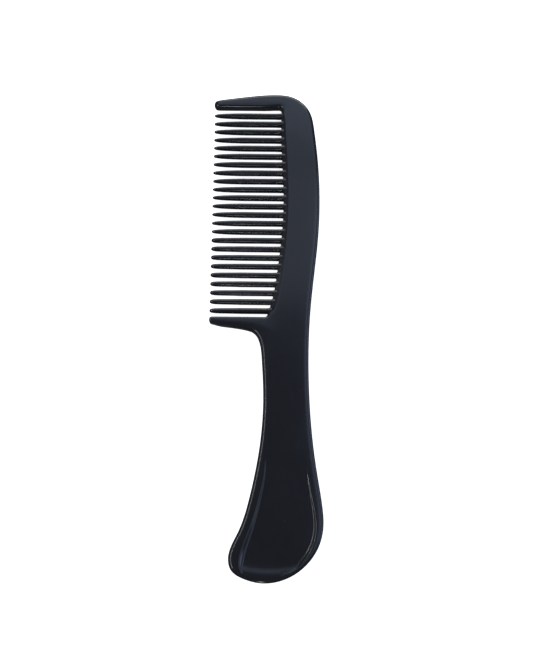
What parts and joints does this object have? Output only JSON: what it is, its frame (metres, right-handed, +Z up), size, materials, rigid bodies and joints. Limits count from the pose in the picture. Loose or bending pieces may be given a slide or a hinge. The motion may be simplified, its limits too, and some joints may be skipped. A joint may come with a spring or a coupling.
{
  "type": "hair comb",
  "caption": "Flat handle comb with a curved spine, a row of parallel teeth between two end guards, and a flared grip with a shallow thumb dish in each face.",
  "frame": {"origin": "middle of the comb's bounding box in plan, on the underside that it lies on", "axes": "+Z up through the thickness, +Y along the comb from the grip to the head, teeth point to -X"},
  "size_m": [0.0477, 0.2094, 0.005],
  "materials": {
    "black_plastic": "satin moulded plastic"
  },
  "bodies": {
    "root": {"spine": "black_plastic", "handle": "black_plastic", "tip_guard": "black_plastic", "heel_guard": "black_plastic", "tooth_01": "black_plastic", "tooth_02": "black_plastic", "tooth_03": "black_plastic", "tooth_04": "black_plastic", "tooth_05": "black_plastic", "tooth_06": "black_plastic", "tooth_07": "black_plastic", "tooth_08": "black_plastic", "tooth_09": "black_plastic", "tooth_10": "black_plastic", "tooth_11": "black_plastic", "tooth_12": "black_plastic", "tooth_13": "black_plastic", "tooth_14": "black_plastic", "tooth_15": "black_plastic", "tooth_16": "black_plastic", "tooth_17": "black_plastic", "tooth_18": "black_plastic", "tooth_19": "black_plastic", "tooth_20": "black_plastic", "tooth_21": "black_plastic", "tooth_22": "black_plastic", "tooth_23": "black_plastic", "tooth_24": "black_plastic"}
  },
  "joints": []
}
